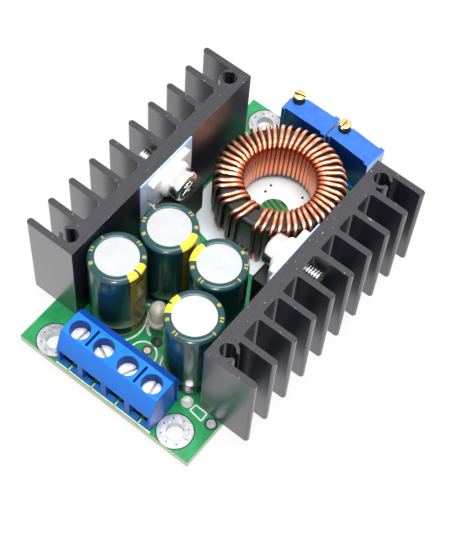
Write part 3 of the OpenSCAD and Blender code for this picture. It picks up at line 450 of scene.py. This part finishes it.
blue = Finish("terminal_blue", Specular_IOR_Level=0.14)
x, y, z = blue.spot()
screw_y, screw_bore_r = -28.55, 1.775
housing_top, ledge_drop, ledge_y = 10.9, 1.0, -26.15
slit_y, slit_half_length, slit_half_width = -28.4, 1.78, 0.23
chamber_top, chamber_front, chamber_back, chamber_half_width = 6.0, -31.1, -25.4, 1.99
from_pole = abs((x - first_pole + pole_pitch / 2) % pole_pitch - pole_pitch / 2)
from_screw = (from_pole ** 2 + (y - screw_y) ** 2).root()
in_bore = 1 - from_screw.step(screw_bore_r + 0.02, screw_bore_r + 0.06)
in_slit = (from_pole > pole_pitch / 2 - slit_half_width) * (z < housing_top - 0.04)
in_slit = in_slit * (abs(y - slit_y) < slit_half_length)
on_ledge = (y > ledge_y + 0.03) * (z > housing_top - 1.9) * (z < housing_top - ledge_drop + 0.05)
in_chamber = (z < chamber_top) * (y > chamber_front) * (y < chamber_back) * (from_pole < chamber_half_width)
upward = blue.facing()[2]
blue_and_painted_shade = blue.patchy(0.5, (32, 126, 218), (42, 138, 228))
# painted light and shade: slopes a lighter blue and steep faces a darker one by how they face, bores, slits,
# ledge and wire chambers painted darker as shade
blue_and_painted_shade = blue.blend(1 - upward.step(0.55, 0.95), blue_and_painted_shade, paint(34, 132, 242))
blue_and_painted_shade = blue.blend(1 - upward.step(0.1, 0.4), blue_and_painted_shade, paint(6, 80, 166))
blue_and_painted_shade = blue.blend(in_bore.most(in_slit).most(on_ledge), blue_and_painted_shade, paint(0, 72, 170))
blue.set("Base Color", blue.blend(in_chamber, blue_and_painted_shade, paint(4, 14, 34)))
blue.set("Roughness", in_bore * 0.2 + 0.32)
blue.relief(blue.grain(9.0, 2.0), 0.01, 0.5)
softened("left_terminal_housing", blue, 0.035)
softened("right_terminal_housing", blue, 0.035)

zinc = Finish("zinc_plate", Metallic=1.0, Roughness=0.3)
zinc.set("Base Color", zinc.patchy(2.0, (196, 200, 206), (232, 234, 238), 5.0, 0.35, 0.65))
zinc.relief(zinc.grain(6.0, 4.0), 0.015, 0.5)
clamp_nickel = Finish("clamp_screw_nickel", Metallic=0.55, Roughness=0.34)
screw_head_z = 8.4
# painted shade: the screw below its head's top, slot included, is painted darker
in_slot = 1 - clamp_nickel.spot()[2].step(screw_head_z - 0.2, screw_head_z - 0.06)
worn = clamp_nickel.patchy(2.4, (226, 232, 230), (252, 254, 253), 4.0, 0.35, 0.65)
clamp_nickel.set("Base Color", clamp_nickel.blend(in_slot, worn, paint(168, 172, 170)))
clamp_nickel.relief(clamp_nickel.grain(7.0, 3.0), 0.02, 0.5)
for number in (1, 2, 3, 4):
    softened(f"clamp_cage_{number}", zinc, 0.08)
    softened(f"clamp_screw_{number}", clamp_nickel, 0.06)

bar_tin = Finish("contact_bar_tin", Metallic=0.25, Roughness=0.45)
bar_tin.set("Base Color", bar_tin.patchy(1.6, (244, 228, 232), (252, 244, 246)))
dress(["terminal_contacts"], bar_tin)


# Heatsinks: lengths of extruded aluminium, anodised black after sawing. Die lines run down every
# fin, and the sawn ends keep their saw marks and a few bright nicks where the black has chipped.
# The faces towards the board and the right end are duller than the rest.

anodised = Finish("black_anodising", IOR=1.5, Specular_IOR_Level=0.5, Coat_IOR=1.72, Coat_Roughness=0.24)
x, y, z = anodised.spot()
facing = anodised.facing()
inner_face_x, right_plate_x, front_fin_y = 13.9, 13.3, -22.9
sawn = abs(facing[2]).step(0.6, 0.9)
die_lines = anodised.grain(1.0, 4.0, 0.6, anodised.place((5.0, 5.0, 0.04)))
saw_lines = anodised.grain(1.0, 3.0, 0.5, anodised.place((7.0, 0.5, 1.0), (0.0, 0.0, 0.4)))
nicks = anodised.grain(1.9, 2.0, 0.5).step(0.715, 0.75) * sawn
inner_face = abs(facing[0]).step(0.6, 0.9) * (abs(x) < inner_face_x)
front_right = (x > right_plate_x) * (y < front_fin_y) * (facing[1] < -0.5)
face_colour = anodised.blend(die_lines.step(0.3, 0.7), paint(26, 23, 36), paint(36, 32, 48))
sawn_colour = anodised.blend(saw_lines.step(0.3, 0.7), paint(46, 45, 50), paint(58, 57, 62))
anodised_colour = anodised.blend(sawn, face_colour, sawn_colour)
anodised.set("Base Color", anodised.blend(nicks, anodised_colour, paint(176, 174, 176)))
anodised.set("Roughness", sawn * 0.28 + die_lines * 0.06 + 0.3)
anodised.set("Coat Weight", (1 - sawn) * (1 - inner_face * 0.95) * (1 - (x > right_plate_x) * 0.35)
             * (1 - front_right * 0.3))
anodised.relief(die_lines * (1 - sawn) + saw_lines * sawn, 0.012, 0.5)
softened("left_heatsink", anodised, 0.11)
softened("right_heatsink", anodised, 0.11)


# Power devices: black epoxy bodies on tinned copper tabs, each held to its heatsink through a
# pale silicone pad by a pan-head screw in a white nylon bush. The screws' threads are relief, with painted
# shade in their grooves.

epoxy = Finish("black_epoxy", Roughness=0.5, Specular_IOR_Level=0.4)
epoxy.set("Base Color", epoxy.patchy(6.0, (27, 27, 30), (38, 38, 41)))
epoxy.relief(epoxy.grain(16.0, 2.0), 0.012, 0.6)
silicone = Finish("silicone_pad", Roughness=0.55, Sheen_Weight=0.2)
weave = silicone.node("ShaderNodeTexChecker", None, {"Vector": silicone.place(), "Scale": 3.0}, out="Fac")
silicone.set("Base Color", silicone.patchy(0.6, (176, 204, 238), (196, 218, 244)))
silicone.relief(weave, 0.01, 0.4)
nylon = Finish("white_nylon", Roughness=0.4, Subsurface_Weight=0.1, Subsurface_Scale=0.002)
nylon.set("Base Color", nylon.patchy(0.8, (236, 235, 230), (248, 247, 243)))
tab_tin = Finish("tab_tin", Metallic=0.35, Roughness=0.4)
tab_tin.set("Base Color", tab_tin.patchy(0.8, (226, 228, 232), (244, 245, 247)))
for name in ("regulator", "diode"):
    softened(f"{name}_body", epoxy, 0.12)
    softened(f"{name}_frame", tab_tin, 0.06)
    dress([f"{name}_pad"], silicone)
    softened(f"{name}_bush", nylon, 0.08)

screw = Finish("heatsink_screw_nickel", Metallic=1.0, Roughness=0.2)
x, y, z = screw.spot()
axis_y, axis_z, thread_pitch = 0.1, 18.9, 0.5
angle = x.maths("ARCTAN2", z - axis_z, y - axis_y)
from_axis = ((z - axis_z) ** 2 + (y - axis_y) ** 2).root()
on_shank = (from_axis > 1.4) * (from_axis < 1.56)
# painted shade: the thread's grooves are painted darker
thread = ((abs(x) * (2 * math.pi / thread_pitch) + angle).sine() * 0.5 + 0.5) * on_shank
screw.set("Base Color", screw.blend(thread, paint(244, 244, 242), paint(168, 166, 164)))
screw.relief(thread, 0.12, 0.8)
softened("regulator_screw", screw, 0.1)
softened("diode_screw", screw, 0.1)


# Ring inductor: a powder core in a dark grey coat, wound with two enamelled copper wires laid
# side by side. Each wire goes up the outside, over the top, down the bore and back underneath.
# The copper is painted darker between the strands, down the outside and low in the bore, with painted
# highlights where it bends over the core.

coat = Finish("core_coating", Roughness=0.42, Specular_IOR_Level=0.5)
coated = coat.patchy(2.4, (30, 30, 31), (46, 46, 47), 4.0)
# painted shade: the coat's sides are painted darker than its top
coat.set("Base Color", coat.blend(1 - coat.facing()[2].step(0.2, 0.7), coated, paint(17, 17, 18)))
coat.relief(coat.grain(5.0, 3.0), 0.04, 0.6)
softened("inductor_core", coat, 0.05, spread=60.0)


def skin(name, grid, capped=True):
    """A closed tube or turned skin: rows of points, each row a loop, joined by quads that face
    outwards when the rows run along and the columns run round. UV is column and row, 0 to 1."""
    rows, cols = grid.shape[:2]
    i, j = np.meshgrid(np.arange(rows - 1), np.arange(cols), indexing="ij")
    i, j = i.ravel(), j.ravel()
    after = (j + 1) % cols
    quads = np.column_stack([i * cols + j, i * cols + after, (i + 1) * cols + after, (i + 1) * cols + j])
    ends = [tuple(range(cols))[::-1], tuple(range((rows - 1) * cols, rows * cols))] if capped else []
    mesh = bpy.data.meshes.new(name)
    mesh.from_pydata(grid.reshape(-1, 3).tolist(), [], quads.tolist() + ends)
    uv = np.zeros((len(mesh.loops), 2), np.float32)
    corners = np.stack([np.column_stack([j, i]), np.column_stack([j + 1, i]),
                        np.column_stack([j + 1, i + 1]), np.column_stack([j, i + 1])], axis=1)
    uv[:4 * len(quads)] = corners.reshape(-1, 2) / (cols, rows - 1)
    mesh.uv_layers.new(name="UVMap").data.foreach_set("uv", uv.ravel())
    mesh.shade_smooth()
    return mesh


ring_place = ring_x, ring_y = -0.3, 15.89
core_r, core_hole_r, core_h, core_edge_r = 11, 7.2, 8.8, 0.8
core_lift, core_gap, wire_r = 0.2, 0.07, 0.42
outer_r, inner_r = core_r + core_gap + wire_r, core_hole_r - core_gap - wire_r
low_z = board_top / MM + core_lift + wire_r
high_z = low_z + core_h + 2 * (core_gap + wire_r)
bend_r = core_edge_r + core_gap + wire_r
turns, start_angle, turn_angle = 23, -73.6, 341.5 / 23
loose_turns, loosening = 3.8, 1.04
pair_gap, pair_spread, wire_scale = 0.01, 0.045, 0.995
tail_bend = low_z - board_top / MM
wire_end_z = -1.6


def wire_path(steps=6):
    """Stations of one wire as rows of radius, height, side angle and angle round the ring. Bends
    are quarter circles in steps, joined by straight runs. The angle grows evenly with the turns,
    plus the square of the loose turns so far, and the last run under the core goes straight out."""
    corners = np.array([[outer_r - bend_r, high_z - bend_r], [inner_r + bend_r, high_z - bend_r],
                        [inner_r + bend_r, low_z + bend_r], [outer_r - bend_r, low_z + bend_r]])
    share = np.linspace(0, 1, steps + 1)
    ones = np.ones(steps + 1)
    bends = np.concatenate([np.column_stack([c * ones, 90 * c + 90 * share, (3 * c + 2 * share) / 12])
                            for c in range(4)])
    middle = corners[bends[:, 0].astype(int)]
    side = np.radians(bends[:, 1])
    one = np.column_stack([middle[:, 0] + bend_r * np.cos(side), middle[:, 1] + bend_r * np.sin(side),
                           bends[:, 1:]])
    all_turns = np.concatenate([one + [0, 0, 0, n] for n in range(turns)])
    all_turns = all_turns[all_turns[:, 3] <= turns - 0.25 + 1e-9]
    turn = np.minimum(all_turns[:, 3], turns - 0.5)
    loose = np.maximum(0, turn - turns + loose_turns)
    all_turns[:, 3] = start_angle + turn_angle * turn + loosening * loose ** 2
    last = all_turns[-1, 3]
    down = np.radians(np.linspace(15, 90, steps))
    bend_from = outer_r - bend_r
    tail = np.column_stack([bend_from + tail_bend * np.sin(down), low_z - tail_bend * (1 - np.cos(down)),
                            270 - np.degrees(down), np.full(steps, last)])
    first_end = [[outer_r, wire_end_z, 0, start_angle], [outer_r, low_z, 0, start_angle]]
    last_end = [[bend_from + tail_bend, wire_end_z, 180, last]]
    return np.vstack([first_end, all_turns, tail, last_end])


def wire_strand(name, strand, around=14):
    """A round wire along the path, stepped sideways by its half of the pair's spacing, which grows
    with the radius."""
    r, z, side, angle = wire_path().T
    half_spacing = wire_r + pair_gap + pair_spread * (r - inner_r)
    a = (np.radians(angle) + strand * half_spacing / r)[:, None]
    t = 2 * np.pi * np.arange(around) / around
    out, along = wire_scale * wire_r * np.cos(t), wire_scale * wire_r * np.sin(t)
    side = np.radians(side)[:, None]
    rr = r[:, None] + out * np.cos(side)
    grid = np.stack([ring_x + rr * np.cos(a) - along * np.sin(a), ring_y + rr * np.sin(a) + along * np.cos(a),
                     z[:, None] + out * np.sin(side)], axis=2) * MM
    return skin(name, grid)


copper = Finish("enamelled_copper", Metallic=0.85, Coat_Roughness=0.12)
x, y, z = spot = copper.spot()
reach = reach_from(spot, ring_place)
upward = copper.facing()[2]
enamel_and_painted_light = copper.patchy(0.25, (234, 144, 102), (251, 178, 136))
# painted shade: the copper is painted darker where it faces away from up, between the strands
enamel_and_painted_light = copper.blend(1 - upward.step(0.0, 0.85), enamel_and_painted_light, paint(150, 76, 50))
# painted highlights: pale copper where the wires bend over the core's outer and inner edges
outer_glint = reach.step(9.7, 10.6) * (1 - reach.step(11.0, 11.4))
inner_glint = reach.step(7.9, 8.3) * (1 - reach.step(8.4, 9.2)) * 0.7
enamel_and_painted_light = copper.blend((outer_glint + inner_glint) * upward.step(0.7, 0.97), enamel_and_painted_light, paint(255, 232, 210))
# painted shade and light: the bore is painted darker brown near the top, lighter lower down, dark grey at the
# bottom
in_bore = 1 - reach.step(inner_r + 0.3, inner_r + 1.3)
bore_painted_shading = copper.blend(z.step(5.0, 10.0), paint(228, 148, 108), paint(182, 90, 56))
bore_painted_shading = copper.blend(1 - z.step(2.7, 3.9), bore_painted_shading, paint(82, 74, 70))
enamel_and_painted_light = copper.blend(in_bore * (1 - upward.step(0.3, 0.8)), enamel_and_painted_light, bore_painted_shading)
# painted shade: the outside of the winding below the top bend is painted dark brown, and painted lighter near
# the board as light
side_painted_shade = reach.step(outer_r - 0.5, outer_r) * (1 - z.step(high_z - 1.3, high_z - 0.3))
side_painted_shade_colour = copper.blend(z.step(1.8, 4.0), paint(176, 116, 86), paint(66, 42, 34))
copper.set("Base Color", copper.blend(side_painted_shade, enamel_and_painted_light, side_painted_shade_colour))
copper.set("Coat Weight", 0.6 - side_painted_shade * 0.5 - in_bore * 0.45)
copper.set("Roughness", copper.grain(2.0) * 0.1 + side_painted_shade * 0.2 + 0.24)
for name, strand in (("winding_strand_a", -1), ("winding_strand_b", 1)):
    wound = piece_of(name + "_round", wire_strand(name + "_round", strand), copper, "module")
    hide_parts(name)


# Capacitors: drawn aluminium cans in shrunk dark green sleeves with a gold stripe down one side
# and gold marks on the rim. The sleeve is turned in over the shoulder and pulled into the crimp.

def turned(name, x, y, profile, around=72):
    """A turned skin: a closed profile of radius and height carried round an upright axis."""
    a = 2 * np.pi * np.arange(around) / around
    grid = np.stack([x + profile[:, :1] * np.cos(a), y + profile[:, :1] * np.sin(a),
                     profile[:, 1:] + 0 * a], axis=2) * MM
    return skin(name, grid, capped=False)


def bend(r, z, radius, start, end, steps):
    """A quarter bend or less in a profile: points round a centre between two angles, in degrees."""
    a = np.radians(np.linspace(start, end, steps + 1))
    return np.column_stack([r + radius * np.cos(a), z + radius * np.sin(a)])


cap_r, cap_top, rim_w, shoulder, film_w = 4.95, 20.8, 1.25, 0.7, 0.14
stripe_half, bar_half, patch_half, bar_pitch, bar_gap = 0.062, 0.03, 0.066, 3.2, 2.2
sleeve_profile = np.vstack([
    [[cap_r - 0.12, 1.92], [cap_r - 0.02, 2.1], [cap_r, 2.9]],
    [[cap_r - 0.12, 3.45], [cap_r - 0.34, 3.85], [cap_r - 0.36, 4.1], [cap_r - 0.14, 4.5], [cap_r, 5.0]],
    [[cap_r, 8.0], [cap_r, 14.0]],
    bend(cap_r - shoulder, cap_top - shoulder, shoulder, 0, 90, 8),
    [[cap_r - rim_w + 0.06, cap_top], [cap_r - rim_w, cap_top - 0.04], [cap_r - rim_w, cap_top - 0.12]],
    bend(cap_r - shoulder, cap_top - shoulder, shoulder - film_w, 90, 0, 6),
    [[cap_r - film_w, 14.0], [cap_r - film_w, 8.0], [cap_r - film_w, 5.2], [cap_r - 0.5, 4.1]],
    [[cap_r - 0.5, 3.8], [cap_r - 0.16, 3.0], [cap_r - film_w, 1.92], [cap_r - 0.12, 1.92]]])


def sleeve_finish(name, middle, stripe_at, bar_reach):
    """The printed sleeve of a can: its stripe stands at an angle round the can, in turns from +X,
    and ends in a gold patch on the rim, with a dark bar from bar_reach outwards. Plain ticks stand
    round the rest of the rim, in turns from the stripe."""
    sleeve = Finish(name, Roughness=0.24, Coat_Weight=0.3, Coat_Roughness=0.06, Specular_IOR_Level=0.3)
    uv = sleeve.node("ShaderNodeUVMap", {"uv_map": "UVMap"})
    round_can = sleeve.node("ShaderNodeSeparateXYZ", inputs={0: uv})
    x, y, z = spot = sleeve.spot()
    reach = reach_from(spot, middle)

    def sector(at, half):
        off = abs((round_can - at + 0.5) % 1.0 - 0.5)
        return 1 - off.step(half - 0.003, half + 0.003)

    rim = z > cap_top - 0.75
    # painted light: the rim, where the sleeve faces up, is painted a lighter teal
    film_and_painted_light = sleeve.blend(rim, sleeve.patchy(0.3, (9, 42, 47), (18, 58, 61)), paint(34, 76, 80))
    stripe = sector(stripe_at, stripe_half) * (z < cap_top - 1.2)
    bars = ((z % bar_pitch) > bar_gap) * sector(stripe_at, bar_half)
    gold = sleeve.blend(bars, paint(118, 102, 34), paint(70, 74, 36))
    patch = rim * sector(stripe_at, patch_half) * (1 - sector(stripe_at, 0.007) * (reach > bar_reach))
    ticks = sector((stripe_at + 0.11) % 1.0, 0.011)
    for at, half in ((0.20, 0.005), (0.222, 0.005), (0.46, 0.005), (0.55, 0.006), (0.572, 0.006),
                     (0.66, 0.011)):
        ticks = ticks.most(sector((stripe_at + at) % 1.0, half))
    ticks = ticks * (reach > 4.05) * (reach < 4.7)
    printed = sleeve.blend(patch, sleeve.blend(stripe, film_and_painted_light, gold), paint(244, 224, 66))
    sleeve.set("Base Color", sleeve.blend(ticks * rim, printed, paint(184, 172, 72)))
    sleeve.relief(sleeve.grain(0.5, 2.0, 0.4), 0.08, 0.5)
    return sleeve


aluminium = Finish("can_aluminium", Metallic=0.4, Roughness=0.42)
aluminium.set("Base Color", aluminium.patchy(0.5, (192, 194, 196), (198, 200, 202), 2.0))
aluminium.relief(aluminium.grain(3.0, 2.0), 0.004, 0.3)
rubber = Finish("bung_rubber", Roughness=0.75)
rubber.set("Base Color", rubber.patchy(4.0, (30, 30, 31), (44, 44, 45)))
for letter, middle, stripe_at, bar_reach in (
        ("a", (-8.35, -18.3), 0.995, 0.0), ("b", (-5.4, -8.6), 0.997, 9.0),
        ("c", (5.1, -8.73), 0.527, 9.0), ("d", (8.05, -18.7), 0.523, 4.2)):
    name = f"capacitor_{letter}_shrink"
    printed = sleeve_finish(f"printed_sleeve_{letter}", middle, stripe_at, bar_reach)
    shrunk = piece_of(name, turned(name, *middle, sleeve_profile), printed, "module")
    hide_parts(f"capacitor_{letter}_sleeve")
    dress([f"capacitor_{letter}_can"], aluminium)
    dress([f"capacitor_{letter}_bung"], rubber)
tinned = Finish("tinned_leads", Metallic=1.0, Roughness=0.3)
tinned.set("Base Color", tinned.patchy(1.6, (186, 186, 184), (230, 230, 228), 4.0))
tinned.relief(tinned.grain(5.0, 3.0), 0.02, 0.4)
dress(["capacitor_leads"], tinned)


# Trimmers: two moulded blue cases with a sunk front panel, round pins and a slotted brass
# adjusting screw that stands out of the top, its lower end painted dark as the case's shade.

sky_blue = Finish("trimmer_blue", Roughness=0.3, Specular_IOR_Level=0.5, Coat_Weight=0.7, Coat_Roughness=0.15)
facing = sky_blue.facing()
cased = sky_blue.patchy(0.6, (26, 104, 206), (36, 118, 222))
# painted shade and reflection: upright walls painted dark navy as shade, those facing right painted pale as a
# reflection
walls_painted_light = sky_blue.blend(facing[0].step(0.6, 0.9), paint(12, 56, 134), paint(96, 156, 236))
sky_blue.set("Base Color", sky_blue.blend(1 - abs(facing[2]).step(0.2, 0.6), cased, walls_painted_light))
sky_blue.relief(sky_blue.grain(8.0, 2.0), 0.01, 0.5)
brass = Finish("turned_brass", Metallic=1.0, Roughness=0.36)
gilt_and_painted_shade = brass.patchy(3.0, (236, 204, 128), (252, 234, 178), 4.0)
# painted shade: the screw's sides are painted darker than its top, and below the case's top nearly black
gilt_and_painted_shade = brass.blend(1 - brass.facing()[2].step(0.2, 0.7), gilt_and_painted_shade, paint(104, 84, 54))
brass.set("Base Color", brass.blend(1 - brass.spot()[2].step(11.4, 12.0), gilt_and_painted_shade, paint(40, 36, 32)))
for number in (1, 2):
    softened(f"trimmer_{number}_housing", sky_blue, 0.09)
    softened(f"trimmer_{number}_screw", brass, 0.09)
    dress([f"trimmer_{number}_pins"], tinned)


# Indicator lamp: a 3 mm lens of milky clear epoxy, moulded round two square tinned leads that
# go through the board and are soldered underneath.

milk = Finish("lamp_epoxy", Roughness=0.12, Transmission_Weight=0.55, IOR=1.5, Subsurface_Weight=0.3,
              Subsurface_Scale=0.002)
milk.set("Base Color", milk.patchy(0.8, (226, 220, 200), (240, 237, 226)))
softened("lamp_lens", milk, 0.08)
dress(["lamp_leads"], tinned)


# Underside: chips in black epoxy on bent tinned legs, chip resistors and ceramic capacitors, all
# soldered flat to the board, and cones of bright solder round every trimmed lead.

chip = Finish("chip_epoxy", Roughness=0.55, Specular_IOR_Level=0.4)
chip.set("Base Color", chip.patchy(8.0, (24, 24, 26), (36, 36, 38)))
chip.relief(chip.grain(18.0, 2.0), 0.01, 0.6)
ceramic = Finish("chip_ceramic", Roughness=0.45)
ceramic.set("Base Color", ceramic.patchy(3.0, (150, 116, 84), (176, 142, 108)))
solder = Finish("solder", Metallic=1.0, Roughness=0.18)
solder.set("Base Color", solder.patchy(1.2, (188, 190, 192), (232, 234, 236), 4.0))
solder.relief(solder.grain(3.0, 3.0), 0.04, 0.5)
dress(["control_chip", "supply_chip", "shunt_resistor", "chip_resistors"], chip)
dress(["chip_capacitors"], ceramic)
dress(["control_chip_legs", "supply_chip_legs"], tinned)
dress(["solder_joints"], solder)
